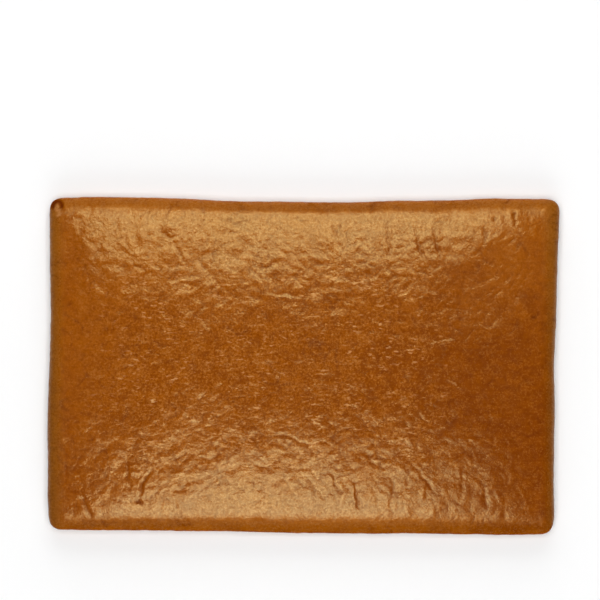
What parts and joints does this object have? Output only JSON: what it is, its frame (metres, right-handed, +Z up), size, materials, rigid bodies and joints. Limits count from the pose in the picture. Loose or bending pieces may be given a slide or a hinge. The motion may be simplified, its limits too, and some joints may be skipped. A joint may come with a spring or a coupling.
{
  "type": "gingerbread sheet",
  "caption": "Baked gingerbread slab, rectangular, with a rounded rim, a low crown and a glazed, wrinkled crust.",
  "frame": {"origin": "middle of the flat underside, on the surface that the slab lies on", "axes": "+X along the length, to the right in the picture; +Y across the width, to the top of the picture; +Z up, out of the glazed crust"},
  "size_m": [0.303, 0.2, 0.0169],
  "materials": {
    "glazed_crust": "amber-brown baked crust with a thin egg glaze: wrinkled like soft leather, satin gloss on the upper skin, drier on the side and matte underneath"
  },
  "bodies": {
    "root": {"gingerbread_sheet": "glazed_crust"}
  },
  "joints": []
}
